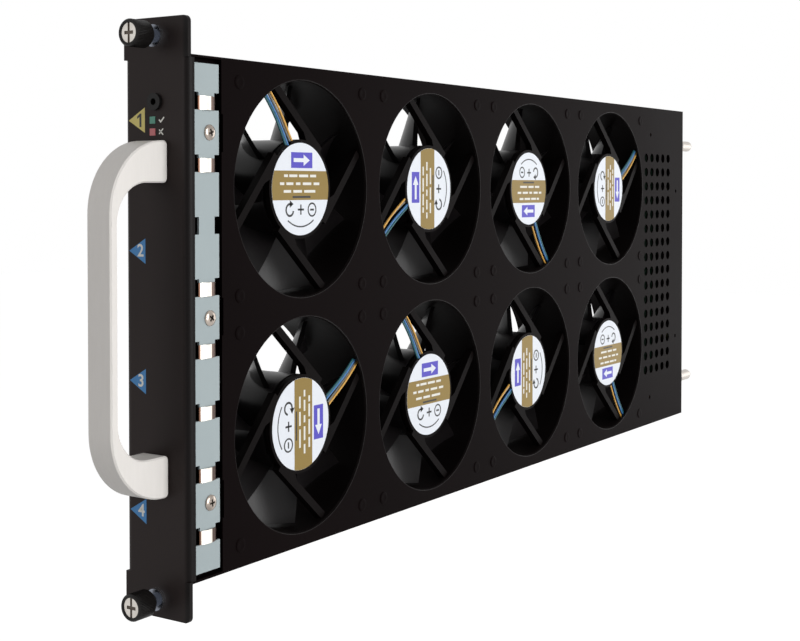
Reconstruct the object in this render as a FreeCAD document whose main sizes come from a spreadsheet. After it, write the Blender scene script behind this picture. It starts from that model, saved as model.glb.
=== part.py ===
"""Rack fan tray: a slim sheet-metal tray with eight 80 mm fans in two rows.

Frame: millimetres, +Z up. X is the thickness (+X is the label side of the fans), Y runs from the
front panel (-Y) to the rear connector (+Y). The origin is the middle of the panel's rear seating
face, halfway up and halfway through the tray.
"""

import FreeCAD, Part
import math
import os

import Sketcher
from FreeCAD import Placement, Rotation, Vector

DIRECTORY = "parts"
COLUMNS = 4
ROWS = 2
BLADES = 7
# How far a blade has changed from its root section to its tip section at half its height.
MIDDLE_SHARE = 0.45
STRUTS = 4
NOTCHES = 8
CLIPPED_NOTCHES = (0, 1, 3, 4, 5, 6, 7)
SCREWED_SEGMENTS = (1, 4, 7)
VENT_COLUMNS = 5
VENT_ROWS = 16
# Turn of each fan in its seat, top row first, counted from the front.
FAN_TURNS = (0, 90, 180, 270, 270, 0, 90, 180)
# Where each impeller has stopped.
IMPELLER_TURNS = (34, 34, 30, 9, 20, 16, 49, 2)

SIZES = {
    # fan
    "duct_diameter": 76.6,
    "duct_wall": 1.7,
    "fan_depth": 25.0,
    "fan_corner_radius": 3.0,
    "strut_embed": 0.6,
    "hub_diameter": 35.4,
    "hub_plate_recess": 1.0,
    "hub_plate_thickness": 2.0,
    "strut_angle": 49.0,
    "strut_width": 2.9,
    "strut_overhang": 1.8,
    "strut_depth": 3.0,
    "strut_root_length": 5.5,
    "strut_root_depth": 2.6,
    "bearing_diameter": 9.0,
    "bearing_length": 12.0,
    "bearing_wall_end": 1.2,
    "shaft_diameter": 3.0,
    "shaft_clearance": 0.03,
    "shaft_end_play": 0.3,
    "bearing_clearance": 0.5,
    "shaft_grip": 5.0,
    "running_clearance": 0.8,
    "drum_gap": 1.2,
    "drum_recess": 0.5,
    "blade_root_front": 6.5,
    "blade_root_back": 10.5,
    "blade_root_half": 5.2,
    "blade_root_thickness": 2.6,
    "blade_root_bow": 24.0,
    "blade_tip_front": 5.0,
    "blade_tip_back": 8.5,
    "blade_tip_half": 13.0,
    "blade_tip_thickness": 1.5,
    "blade_tip_bow": 34.0,
    "blade_sweep": 5.0,
    "blade_embed": 4.4,
    "blade_trim": 2.4,
    "lead_width": 7.0,
    "lead_thickness": 1.3,
    "lead_bow": 34.0,
    "lead_start_across": 8.9,
    "lead_start_up": 15.4,
    "lead_end_across": 25.0,
    # fan layout
    "first_fan_gap": 2.6,
    "fan_gap_along": 5.9,
    "fan_gap_up": 4.0,
    "fan_margin": 2.5,
    # tray
    "sheet": 0.8,
    "tail_length": 54.4,
    "opening_gap": 0.375,
    "side_start": 15.5,
    "side_lip": 1.5,
    "recess_depth": 3.0,
    "panel_gap": 0.2,
    "first_vent_gap": 3.7,
    "vent_pitch_along": 7.43,
    "vent_pitch_up": 7.60,
    "vent_middle": 1.35,
    "vent_diameter": 4.6,
    # front panel
    "panel_sheet": 1.5,
    "panel_overhang": 0.7,
    "panel_tab_height": 12.3,
    "panel_flange": 3.1,
    "panel_bend": 2.6,
    "panel_tab_notch": 1.0,
    "panel_corner": 2.0,
    # handle
    "handle_reach": 25.65,
    "handle_height": 115.4,
    "handle_inside_height": 88.2,
    "handle_grip": 3.2,
    "handle_width": 10.5,
    "handle_outer_radius": 23.5,
    "handle_inner_radius": 13.0,
    "handle_foot_round": 1.5,
    "handle_edge_chamfer": 0.5,
    "handle_screw_diameter": 4.0,
    "handle_screw_depth": 9.0,
    "handle_screw_gap": 1.0,
    "handle_screw_head": 7.0,
    "handle_screw_head_height": 2.4,
    # thumbscrews
    "thumbscrew_rise": 6.3,
    "ferrule_flange_diameter": 7.2,
    "ferrule_flange": 1.5,
    "ferrule_shank_diameter": 5.0,
    "barrel_diameter": 4.6,
    "barrel_length": 3.4,
    "knob_diameter": 8.9,
    "knob_rear_diameter": 6.2,
    "knob_chamfer": 1.6,
    "knob_length": 8.8,
    "knob_gap": 2.2,
    "knob_wall": 0.8,
    "skirt_clearance": 0.3,
    "screw_diameter": 3.0,
    "screw_clearance": 0.15,
    "screw_head_diameter": 6.4,
    "screw_head_height": 1.6,
    "screw_head_recess": 0.4,
    "screw_tip": 2.0,
    "screw_slot": 0.9,
    "screw_cross": 1.1,
    "screw_cross_reach": 1.9,
    "screw_slot_depth": 0.9,
    "washer_thickness": 0.4,
    "spring_wire": 0.5,
    # contact strip
    "strip_width": 12.0,
    "strip_end_gap": 1.75,
    "strip_thickness": 0.8,
    "strip_edge_gap": 1.4,
    "notch_pitch": 20.15,
    "notch_height": 5.7,
    "neck_width": 7.6,
    "clip_height": 4.5,
    "clip_metal": 0.25,
    "clip_bulge": 1.0,
    "pad_height": 12.5,
    "pad_margin": 1.5,
    "pad_relief": 0.7,
    "strip_screw_diameter": 2.5,
    "strip_screw_head": 5.2,
    "strip_screw_head_height": 1.0,
    "strip_screw_offset": 1.3,
    # front indicators
    "jack_gap": 1.925,
    "jack_diameter": 5.6,
    "jack_stand": 1.2,
    "jack_body_diameter": 4.0,
    "jack_bore_diameter": 2.2,
    "jack_depth": 6.0,
    "lamp_side": 2.3,
    "lamp_stand": 0.2,
    "lamp_offset": 1.3,
    "lamp_gap": 1.725,
    "lamp_pitch": 3.85,
    "lamp_depth": 1.6,
    "lamp_lip": 0.45,
    "indicator_window_width": 12.0,
    "indicator_window_height": 22.0,
    # rear
    "pin_height": 66.2,
    "pin_offset": 7.3,
    "pin_diameter": 5.8,
    "pin_reach": 25.8,
    "pin_point": 5.0,
    "pin_tip_diameter": 2.2,
    "pin_collar_diameter": 8.4,
    "pin_collar": 5.8,
    "pin_stub_diameter": 5.0,
    "pin_rivet": 1.6,
    "board_gap": 4.9,
    "board_length": 44.0,
    "board_end_gap": 9.5,
    "board_thickness": 1.6,
    "board_depth": 8.5,
    "standoff_inset": 4.5,
    "front_standoff_height": 70.8,
    "rear_standoff_height": 40.5,
    "standoff_diameter": 4.5,
    "standoff_bore": 2.0,
    "connector_height": 44.0,
    "connector_thickness": 11.0,
    "connector_reach": 6.0,
    "connector_wall": 1.4,
    "connector_socket": 5.0,
}


class Term:
    """A size or a sum of sizes, kept both as a number and as the text of an expression."""

    def __init__(self, text, number):
        self.text = text
        self.number = number

    @staticmethod
    def of(value):
        return value if isinstance(value, Term) else Term(repr(float(value)), float(value))

    def __add__(self, other):
        other = Term.of(other)
        return Term(f"({self.text} + {other.text})", self.number + other.number)

    def __sub__(self, other):
        other = Term.of(other)
        return Term(f"({self.text} - {other.text})", self.number - other.number)

    def __mul__(self, factor):
        factor = Term.of(factor)
        return Term(f"({self.text} * {factor.text})", self.number * factor.number)

    def __truediv__(self, divisor):
        divisor = Term.of(divisor)
        return Term(f"({self.text} / {divisor.text})", self.number / divisor.number)

    def __neg__(self):
        return Term(f"(0 - {self.text})", -self.number)

    def __radd__(self, other):
        return Term.of(other) + self

    def __rsub__(self, other):
        return Term.of(other) - self

    def __rmul__(self, other):
        return Term.of(other) * self


def root(term):
    """The square root of a term."""
    return Term(f"sqrt({term.text})", math.sqrt(term.number))


class Sizes:
    """The driving sizes: one named cell each in the document's spreadsheet."""

    def __init__(self, document, table):
        cells = document.addObject("Spreadsheet::Sheet", "Sizes")
        for row, (name, number) in enumerate(table.items(), start=1):
            cells.set(f"A{row}", name)
            cells.set(f"B{row}", str(number))
            cells.setAlias(f"B{row}", name)
            setattr(self, name, Term(f"Sizes.{name}", number))
        document.recompute()


document = FreeCAD.newDocument("rack_fan_tray")
size = Sizes(document, SIZES)
ZERO = Term.of(0)


def bind(thing, name, term):
    """Bind a length, angle or coordinate of an object to a term."""
    thing.setExpression(name, Term.of(term).text)


def place(thing, x=ZERO, y=ZERO, z=ZERO):
    for letter, term in zip("xyz", (x, y, z)):
        bind(thing, f".Placement.Base.{letter}", term)


class Body:
    """A part-design body with the few features that this tray needs."""

    PLANES = {"XY": "XY_Plane", "XZ": "XZ_Plane", "YZ": "YZ_Plane"}
    AXES = {"X": "X_Axis", "Y": "Y_Axis", "Z": "Z_Axis"}

    def __init__(self, label):
        self.body = document.addObject("PartDesign::Body", label)
        self.body.Label = label
        self.body.AllowCompound = True

    def origin(self, role):
        return next(f for f in self.body.Origin.OriginFeatures if f.Role == role)

    def sketch(self, plane, offset=ZERO, turn=None):
        """An empty sketch on one of the body's own planes, moved along its normal."""
        sketch = self.body.newObject("Sketcher::SketchObject", "Sketch")
        sketch.AttachmentSupport = [(self.origin(self.PLANES[plane]), "")]
        sketch.MapMode = "FlatFace"
        if turn is not None:
            sketch.AttachmentOffset = Placement(Vector(), Rotation(Vector(0, 0, 1), turn.number))
            bind(sketch, ".AttachmentOffset.Rotation.Angle", turn)
        bind(sketch, ".AttachmentOffset.Base.z", offset)
        return sketch

    def feature(self, kind, sketch):
        feature = self.body.newObject(f"PartDesign::{kind}", kind)
        feature.Profile = (sketch, [""])
        return feature

    def pad(self, sketch, length):
        feature = self.feature("Pad", sketch)
        bind(feature, "Length", length)
        return feature

    def pocket(self, sketch, length):
        """Cut along the sketch's normal."""
        feature = self.feature("Pocket", sketch)
        feature.Reversed = True
        bind(feature, "Length", length)
        return feature

    def turn(self, kind, sketch, axis):
        feature = self.feature(kind, sketch)
        feature.ReferenceAxis = (self.origin(self.AXES[axis]), [""])
        feature.Angle = 360
        return feature

    def box(self, kind, x, y, z):
        """Add or cut a box between two terms along each axis."""
        feature = self.body.newObject(f"PartDesign::{kind}Box", "Box")
        for side, (low, high) in zip(("Length", "Width", "Height"), (x, y, z)):
            bind(feature, side, Term.of(high) - low)
        place(feature, *(Term.of(low) for low, _ in (x, y, z)))
        return feature

    def cylinder(self, kind, axis, centre, start, end, diameter):
        """Add or cut a cylinder along an axis, centred on the two other coordinates."""
        feature = self.body.newObject(f"PartDesign::{kind}Cylinder", "Cylinder")
        turns = {"X": (Vector(0, 1, 0), 90), "Y": (Vector(1, 0, 0), -90), "Z": (Vector(0, 0, 1), 0)}
        feature.Placement = Placement(Vector(), Rotation(*turns[axis]))
        bind(feature, "Radius", diameter / 2)
        bind(feature, "Height", Term.of(end) - start)
        places = [Term.of(term) for term in centre]
        places.insert("XYZ".index(axis), Term.of(start))
        place(feature, *places)
        return feature

    def array(self, feature, runs):
        """Repeat a feature along one or two axes: runs of (axis, pitch, copies)."""
        pattern = self.body.newObject("PartDesign::MultiTransform", "Array")
        pattern.Originals = [feature]
        steps = []
        for axis, pitch, copies in runs:
            step = document.addObject("PartDesign::LinearPattern", "Run")
            self.body.addObject(step)
            step.Direction = (self.origin(self.AXES[axis]), [""])
            step.Occurrences = copies
            bind(step, "Length", pitch * (copies - 1))
            steps.append(step)
        pattern.Transformations = steps
        self.body.Tip = pattern
        return pattern

    def polar(self, features, axis, copies):
        pattern = self.body.newObject("PartDesign::PolarPattern", "Polar")
        pattern.Originals = features
        pattern.Axis = (self.origin(self.AXES[axis]), [""])
        pattern.Angle = 360
        pattern.Occurrences = copies
        self.body.Tip = pattern
        return pattern

    def dress(self, kind, choose, dimension):
        """Fillet or chamfer the edges of the solid so far that a test picks."""
        document.recompute()
        base = self.body.Tip
        names = [f"Edge{n}" for n, edge in enumerate(base.Shape.Edges, start=1) if choose(edge)]
        feature = self.body.newObject(f"PartDesign::{kind}", kind)
        feature.Base = (base, names)
        bind(feature, "Radius" if kind == "Fillet" else "Size", dimension)
        return feature


def circle(sketch, across, up, diameter):
    spot = Vector(across.number, up.number, 0)
    edge = sketch.addGeometry(Part.Circle(spot, Vector(0, 0, 1), diameter.number / 2))
    measure(sketch, "DistanceX", (-1, 1, edge, 3), across)
    measure(sketch, "DistanceY", (-1, 1, edge, 3), up)
    measure(sketch, "Diameter", (edge,), diameter)


def measure(sketch, kind, places, term):
    number = sketch.addConstraint(Sketcher.Constraint(kind, *places, term.number))
    bind(sketch, f"Constraints[{number}]", term)


def outline(sketch, corners, bows=None):
    """Draw a closed outline through its corners. A bow is the radius of the arc that replaces a
    side, and bulges to the right of the way from that side's first corner to its second."""
    bows = bows or {}
    corners = [(Term.of(across), Term.of(up)) for across, up in corners]
    spots = [Vector(across.number, up.number, 0) for across, up in corners]
    starts, ends = [], []
    for side, start in enumerate(spots):
        end = spots[(side + 1) % len(spots)]
        if side not in bows:
            edge = sketch.addGeometry(Part.LineSegment(start, end))
            starts.append((edge, 1))
            ends.append((edge, 2))
            continue
        bow = bows[side]
        radius = abs(bow.number)
        chord = end - start
        left = Vector(-chord.y, chord.x, 0).normalize()
        drop = math.sqrt(max(radius**2 - chord.Length**2 / 4, 0))
        forward = bow.number > 0
        centre = (start + end) * 0.5 + left * (drop if forward else -drop)
        first, last = (start, end) if forward else (end, start)
        angles = [math.atan2(p.y - centre.y, p.x - centre.x) for p in (first, last)]
        round_edge = Part.Circle(centre, Vector(0, 0, 1), radius)
        edge = sketch.addGeometry(Part.ArcOfCircle(round_edge, *angles))
        measure(sketch, "Radius", (edge,), bow if forward else -bow)
        starts.append((edge, 1 if forward else 2))
        ends.append((edge, 2 if forward else 1))
    for side, (across, up) in enumerate(corners):
        sketch.addConstraint(Sketcher.Constraint("Coincident", *ends[side - 1], *starts[side]))
        measure(sketch, "DistanceX", (-1, 1, *starts[side]), across)
        measure(sketch, "DistanceY", (-1, 1, *starts[side]), up)


# --- places worked out from the sizes -----------------------------------------------------------

half_fan = size.fan_depth / 2
outer_face = half_fan + size.sheet
fan_side = size.duct_diameter + size.duct_wall * 2
pitch_along = fan_side + size.fan_gap_along
pitch_up = fan_side + size.fan_gap_up
inside_height = pitch_up * (ROWS - 1) + fan_side + size.fan_margin * 2
half_inside = inside_height / 2
half_height = half_inside + size.sheet
panel_front = -size.panel_sheet
half_panel = outer_face + size.panel_overhang
half_flanged = half_height - size.panel_tab_notch
panel_end = half_height + size.panel_tab_height
thumbscrew_height = half_height + size.thumbscrew_rise
recess_floor = outer_face - size.recess_depth
riser_end = size.side_start + size.side_lip + size.sheet
first_fan = riser_end + size.first_fan_gap + fan_side / 2
fans_end = first_fan + pitch_along * (COLUMNS - 1) + fan_side / 2
rear_face = fans_end + size.tail_length
board_start = fans_end + size.board_gap


def fan_row(row):
    return pitch_up * (ROWS - 1) / 2 - pitch_up * row


# --- tray ---------------------------------------------------------------------------------------


def openings(body, low, high):
    """The round openings of the fans through one side sheet."""
    sketch = body.sketch("YZ", low)
    opening = size.duct_diameter + size.opening_gap * 2
    circle(sketch, first_fan, fan_row(ROWS - 1), opening)
    hole = body.pocket(sketch, high - low)
    body.array(hole, [("Y", pitch_along, COLUMNS), ("Z", pitch_up, ROWS)])


def segment_middle(segment):
    """Height of a strip segment that lies below notch number segment - 1."""
    return size.notch_pitch * (NOTCHES / 2 - segment)


def strip_screw_place():
    return strip_front() + size.strip_width / 2 + size.strip_screw_offset


def strip_front():
    return size.side_start - size.strip_edge_gap - size.strip_width


def make_case():
    """Side sheet, top, bottom, rear and front walls, and the recess of the contact strip."""
    case = Body("tray_case")
    inner = outer_face - size.sheet
    cover_side = -half_fan
    inside = half_inside
    riser = riser_end - size.sheet
    flange_side = half_panel - size.panel_bend - size.panel_gap
    case.box("Additive", (inner, outer_face), (size.side_start, rear_face), (-half_height, half_height))
    case.box("Additive", (cover_side, outer_face), (ZERO, rear_face), (inside, half_height))
    case.box("Additive", (cover_side, outer_face), (ZERO, rear_face), (-half_height, -inside))
    case.box("Additive", (cover_side, inner), (rear_face - size.sheet, rear_face), (-inside, inside))
    case.box("Additive", (-flange_side, flange_side), (ZERO, size.sheet), (-inside, inside))
    floor = (recess_floor - size.sheet, recess_floor)
    case.box("Additive", floor, (ZERO, riser_end), (-inside, inside))
    case.box("Additive", (floor[0], inner), (riser, riser_end), (-inside, inside))
    pad = (strip_front() + size.pad_margin, strip_front() + size.strip_width - size.pad_margin)
    strip_back = outer_face - size.strip_thickness
    for segment in SCREWED_SEGMENTS:
        middle = segment_middle(segment)
        span = (middle - size.pad_height / 2, middle + size.pad_height / 2)
        case.box("Additive", (recess_floor, strip_back), pad, span)
        relief = (size.side_start, size.side_start + size.pad_relief)
        case.box("Subtractive", (inner, outer_face), relief, span)
        centre = (strip_screw_place(), middle)
        case.cylinder("Subtractive", "X", centre, floor[0], strip_back, size.strip_screw_diameter)
    openings(case, inner, outer_face)
    sketch = case.sketch("YZ", inner)
    lowest = size.vent_middle - size.vent_pitch_up * (VENT_ROWS - 1) / 2
    circle(sketch, fans_end + size.first_vent_gap, lowest, size.vent_diameter)
    vent = case.pocket(sketch, size.sheet)
    runs = [("Y", size.vent_pitch_along, VENT_COLUMNS), ("Z", size.vent_pitch_up, VENT_ROWS)]
    case.array(vent, runs)
    for centre in standoff_places():
        case.cylinder("Subtractive", "X", centre, inner, outer_face, size.standoff_bore)
    for sign in (1, -1):
        hole = (ZERO, handle_screw_height() * sign)
        case.cylinder("Subtractive", "Y", hole, ZERO, size.sheet, size.handle_screw_diameter)
        hole = (size.pin_offset, size.pin_height * sign)
        start = rear_face - size.sheet
        case.cylinder("Subtractive", "Y", hole, start, rear_face, size.pin_stub_diameter)
    half = size.indicator_window_width / 2
    top = jack_height() + size.jack_diameter
    window = (top - size.indicator_window_height, top)
    case.box("Subtractive", (-half, half), (ZERO, size.sheet), window)
    middle, half = connector_middle(), size.connector_thickness / 2
    half_up = size.connector_height / 2
    port = (rear_face - size.sheet, rear_face)
    case.box("Subtractive", (middle - half, middle + half), port, (-half_up, half_up))


def make_cover():
    cover = Body("tray_cover")
    start = size.panel_flange - size.panel_sheet + size.panel_gap
    cover.box("Additive", (-outer_face, -half_fan), (start, rear_face), (-half_height, half_height))
    openings(cover, -outer_face, -half_fan)


# --- front panel and handle ---------------------------------------------------------------------


def handle_screw_height():
    return (size.handle_height + size.handle_inside_height) / 4


def make_front_panel():
    """A flat panel whose long sides are bent back between two flat ends."""
    panel = Body("front_panel")
    half = half_panel
    bend = size.panel_bend
    inner_bend = bend - size.panel_sheet
    back = panel_front + size.panel_flange
    inner = half - size.panel_sheet
    corners = [
        (-half, back),
        (-half, panel_front + bend),
        (-half + bend, panel_front),
        (half - bend, panel_front),
        (half, panel_front + bend),
        (half, back),
        (inner, back),
        (inner, inner_bend),
        (inner - inner_bend, ZERO),
        (-inner + inner_bend, ZERO),
        (-inner, inner_bend),
        (-inner, back),
    ]
    bends = {1: bend, 3: bend, 7: -inner_bend, 9: -inner_bend}
    sketch = panel.sketch("XY", -half_flanged)
    outline(sketch, corners, bends)
    panel.pad(sketch, half_flanged * 2)
    end = panel_end
    for low, high in ((half_flanged, end), (-end, -half_flanged)):
        panel.box("Additive", (-half, half), (panel_front, ZERO), (low, high))

    def is_corner(edge):
        return edge.Length < size.panel_sheet.number + 1e-3 and all(
            abs(abs(v.X) - half.number) < 1e-3 and abs(abs(v.Z) - end.number) < 1e-3
            for v in edge.Vertexes
        )

    panel.dress("Fillet", is_corner, size.panel_corner)
    for sign in (1, -1):
        centre = (ZERO, thumbscrew_height * sign)
        shank = size.ferrule_shank_diameter
        panel.cylinder("Subtractive", "Y", centre, panel_front, ZERO, shank)
        centre = (ZERO, handle_screw_height() * sign)
        panel.cylinder("Subtractive", "Y", centre, panel_front, ZERO, size.handle_screw_diameter)
    centre = (ZERO, jack_height())
    panel.cylinder("Subtractive", "Y", centre, panel_front, ZERO, size.jack_body_diameter)
    half_lamp = size.lamp_side / 2
    for number in range(2):
        middle = lamp_middle(number)
        across = (-size.lamp_offset - half_lamp, -size.lamp_offset + half_lamp)
        panel.box("Subtractive", across, (panel_front, ZERO), (middle - half_lamp, middle + half_lamp))


def make_handle():
    """A flat bow whose legs grow thicker towards the panel."""
    handle = Body("handle")
    foot = panel_front
    outside = foot - size.handle_reach
    inside = outside + size.handle_grip
    top = size.handle_height / 2
    gap = size.handle_inside_height / 2
    big, small = size.handle_outer_radius, size.handle_inner_radius
    corners = [
        (foot, top),
        (outside + big, top),
        (outside, top - big),
        (outside, big - top),
        (outside + big, -top),
        (foot, -top),
        (foot, -gap),
        (inside + small, -gap),
        (inside, small - gap),
        (inside, gap - small),
        (inside + small, gap),
        (foot, gap),
    ]
    sketch = handle.sketch("YZ", -size.handle_width / 2)
    outline(sketch, corners, {1: big, 3: big, 7: -small, 9: -small})
    handle.pad(sketch, size.handle_width)

    def at_foot(edge):
        return abs(edge.Length - size.handle_width.number) < 1e-3 and all(
            abs(v.Y - foot.number) < 1e-3 for v in edge.Vertexes
        )

    handle.dress("Fillet", at_foot, size.handle_foot_round)

    def along_side(edge):
        across = [abs(v.X) for v in edge.Vertexes]
        middle = edge.valueAt((edge.FirstParameter + edge.LastParameter) / 2)
        on_side = all(abs(x - size.handle_width.number / 2) < 1e-3 for x in across)
        return on_side and middle.y < foot.number - 1e-3 and abs(middle.x) > 1

    handle.dress("Chamfer", along_side, size.handle_edge_chamfer)
    for sign in (1, -1):
        centre = (ZERO, handle_screw_height() * sign)
        bore = (foot - size.handle_screw_depth, foot)
        handle.cylinder("Subtractive", "Y", centre, *bore, size.handle_screw_diameter)


def make_handle_screws():
    screws = Body("handle_screws")
    tip = panel_front - size.handle_screw_depth + size.handle_screw_gap
    head = size.sheet + size.handle_screw_head_height
    for sign in (1, -1):
        centre = (ZERO, handle_screw_height() * sign)
        screws.cylinder("Additive", "Y", centre, tip, head, size.handle_screw_diameter)
        screws.cylinder("Additive", "Y", centre, size.sheet, head, size.handle_screw_head)


# --- captive thumbscrews --------------------------------------------------------------------------


def turned(name, profile, centre, cuts=()):
    """A turned piece on an axis along Y: profile and cuts are lists of (radius, place)."""
    piece = Body(name)
    sketch = piece.sketch("XY")
    outline(sketch, profile)
    piece.turn("Revolution", sketch, "Y")
    for cut in cuts:
        sketch = piece.sketch("XY")
        outline(sketch, cut)
        piece.turn("Groove", sketch, "Y")
    place(piece.body, *centre)
    return piece


def make_thumbscrew(side, sign):
    centre = (ZERO, ZERO, thumbscrew_height * sign)
    flange_front = panel_front - size.ferrule_flange
    barrel_front = flange_front - size.barrel_length
    knob_rear = flange_front - size.knob_gap
    knob_front = knob_rear - size.knob_length
    head_front = knob_front + size.screw_head_recess
    head_back = head_front + size.screw_head_height
    bottom = head_back + size.knob_wall
    screw = size.screw_diameter / 2
    hole = screw + size.screw_clearance
    barrel = size.barrel_diameter / 2
    skirt = barrel + size.skirt_clearance
    shank = size.ferrule_shank_diameter / 2
    flange = size.ferrule_flange_diameter / 2
    knob = size.knob_diameter / 2
    head = size.screw_head_diameter / 2

    corners = [
        (hole, ZERO),
        (shank, ZERO),
        (shank, panel_front),
        (flange, panel_front),
        (flange, flange_front),
        (barrel, flange_front),
        (barrel, barrel_front),
        (hole, barrel_front),
    ]
    turned(f"{side}_ferrule", corners, centre)

    corners = [
        (skirt, knob_rear),
        (size.knob_rear_diameter / 2, knob_rear),
        (knob, knob_rear - size.knob_chamfer),
        (knob, knob_front),
        (head, knob_front),
        (head, head_back),
        (screw, head_back),
        (screw, bottom),
        (skirt, bottom),
    ]
    turned(f"{side}_knob", corners, centre)

    corners = [
        (ZERO, head_front),
        (head, head_front),
        (head, head_back),
        (screw, head_back),
        (screw, size.screw_tip - screw / 2),
        (screw / 2, size.screw_tip),
        (ZERO, size.screw_tip),
    ]
    piece = turned(f"{side}_thumbscrew", corners, centre)
    depth = (head_front, head_front + size.screw_slot_depth)
    slot, cross, reach = size.screw_slot / 2, size.screw_cross / 2, size.screw_cross_reach
    piece.box("Subtractive", (-slot, slot), depth, (-head, head))
    piece.box("Subtractive", (-reach, reach), depth, (-cross, cross))

    washer = bottom + size.washer_thickness
    rim = skirt - size.screw_clearance
    corners = [(hole, bottom), (rim, bottom), (rim, washer), (hole, washer)]
    turned(f"{side}_spring_washer", corners, centre)

    inner = hole
    outer = inner + size.spring_wire
    corners = [(inner, washer), (outer, washer), (outer, barrel_front), (inner, barrel_front)]
    turned(f"{side}_spring", corners, centre)


# --- contact strip ----------------------------------------------------------------------------------


def make_contact_strip():
    """Grey retaining strip: wide segments joined by necks."""
    strip = Body("contact_strip")
    front = strip_front()
    back = front + size.strip_width
    inner = outer_face - size.strip_thickness
    half = half_inside - size.strip_end_gap
    strip.box("Additive", (inner, outer_face), (front, back), (-half, half))
    side = (size.strip_width - size.neck_width) / 2
    low = size.notch_pitch * (1 - NOTCHES) / 2 - size.notch_height / 2
    for start in (front, back - side):
        span = (low, low + size.notch_height)
        notch = strip.box("Subtractive", (inner, outer_face), (start, start + side), span)
        strip.array(notch, [("Z", size.notch_pitch, NOTCHES)])
    for segment in SCREWED_SEGMENTS:
        centre = (strip_screw_place(), segment_middle(segment))
        strip.cylinder("Subtractive", "X", centre, inner, outer_face, size.strip_screw_diameter)


def make_contact_clips():
    """Springy bands that wrap round the necks and bulge outwards."""
    clips = Body("contact_clips")
    inner = outer_face - size.strip_thickness
    middle = strip_front() + size.strip_width / 2
    half = size.neck_width / 2
    metal = size.clip_metal
    outside = ((half + metal) * (half + metal) + size.clip_bulge * size.clip_bulge) / (size.clip_bulge * 2)
    rise = size.clip_bulge - metal
    inside = (half * half + rise * rise) / (rise * 2)
    corners = [
        (inner - metal, middle - half - metal),
        (inner - metal, middle - half / 2),
        (inner, middle - half / 2),
        (inner, middle - half),
        (outer_face, middle - half),
        (outer_face, middle + half),
        (inner, middle + half),
        (inner, middle + half / 2),
        (inner - metal, middle + half / 2),
        (inner - metal, middle + half + metal),
        (outer_face, middle + half + metal),
        (outer_face, middle - half - metal),
    ]
    for notch in CLIPPED_NOTCHES:
        height = size.notch_pitch * ((NOTCHES - 1) / 2 - notch) - size.notch_height / 2
        sketch = clips.sketch("XY", height)
        outline(sketch, corners, {4: inside, 10: -outside})
        clips.pad(sketch, size.clip_height)


def make_strip_screws():
    screws = Body("strip_screws")
    back = recess_floor - size.sheet
    for segment in SCREWED_SEGMENTS:
        centre = (strip_screw_place(), segment_middle(segment))
        head = outer_face + size.strip_screw_head_height
        screws.cylinder("Additive", "X", centre, back, head, size.strip_screw_diameter)
        screws.cylinder("Additive", "X", centre, outer_face, head, size.strip_screw_head)


# --- jack and lamps -----------------------------------------------------------------------------------


def lamp_middle(number):
    lowest = size.handle_height / 2 + size.lamp_gap + size.lamp_side / 2
    return lowest + size.lamp_pitch * (1 - number)


def jack_height():
    """Height of the jack, which sits above the green lamp."""
    return lamp_middle(0) + (size.lamp_side + size.jack_diameter) / 2 + size.jack_gap


def make_jack():
    rim, body = size.jack_diameter / 2, size.jack_body_diameter / 2
    bore = size.jack_bore_diameter / 2
    front = panel_front - size.jack_stand
    floor = size.jack_depth - size.panel_sheet
    corners = [
        (bore, front),
        (rim, front),
        (rim, panel_front),
        (body, panel_front),
        (body, size.jack_depth),
        (ZERO, size.jack_depth),
        (ZERO, floor),
        (bore, floor),
    ]
    turned("jack", corners, (ZERO, ZERO, jack_height()))


def make_lamps():
    half = size.lamp_side / 2
    lip = half + size.lamp_lip
    for number, name in enumerate(("green_lamp", "red_lamp")):
        lamp = Body(name)
        middle = lamp_middle(number)
        low, high = middle - half, middle + half
        across = (-size.lamp_offset - half, -size.lamp_offset + half)
        lamp.box("Additive", across, (panel_front - size.lamp_stand, ZERO), (low, high))
        across = (-size.lamp_offset - lip, -size.lamp_offset + lip)
        lamp.box("Additive", across, (ZERO, size.lamp_depth), (middle - lip, middle + lip))


# --- rear end -------------------------------------------------------------------------------------------


def standoff_places():
    front = board_start + size.standoff_inset
    rear = board_start + size.board_length - size.standoff_inset
    for sign in (1, -1):
        yield front, size.front_standoff_height * sign
        yield rear, size.rear_standoff_height * sign


def board_face():
    """The board's face that the standoffs hold."""
    return half_fan - size.board_depth


def connector_middle():
    return board_face() - size.board_thickness - size.connector_thickness / 2


def make_controller_board():
    board = Body("controller_board")
    face = board_face()
    across = (face - size.board_thickness, face)
    along = (board_start, board_start + size.board_length)
    half = half_inside - size.board_end_gap
    board.box("Additive", across, along, (-half, half))
    for centre in standoff_places():
        board.cylinder("Subtractive", "X", centre, *across, size.standoff_bore)


def make_standoffs():
    standoffs = Body("board_standoffs")
    for centre in standoff_places():
        standoffs.cylinder("Additive", "X", centre, board_face(), half_fan, size.standoff_diameter)
    for centre in standoff_places():
        standoffs.cylinder("Subtractive", "X", centre, board_face(), half_fan, size.standoff_bore)


def make_connector():
    """Socket housing that stands on the board and looks out of the rear wall."""
    connector = Body("rear_connector")
    middle, half = connector_middle(), size.connector_thickness / 2
    start = board_start + size.board_length / 2
    mouth = rear_face + size.connector_reach
    half_up = size.connector_height / 2
    wall = size.connector_wall
    across = (middle - half, middle + half)
    connector.box("Additive", across, (start, mouth), (-half_up, half_up))
    across = (middle - half + wall, middle + half - wall)
    socket = (mouth - size.connector_socket, mouth)
    connector.box("Subtractive", across, socket, (wall - half_up, half_up - wall))


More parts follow.
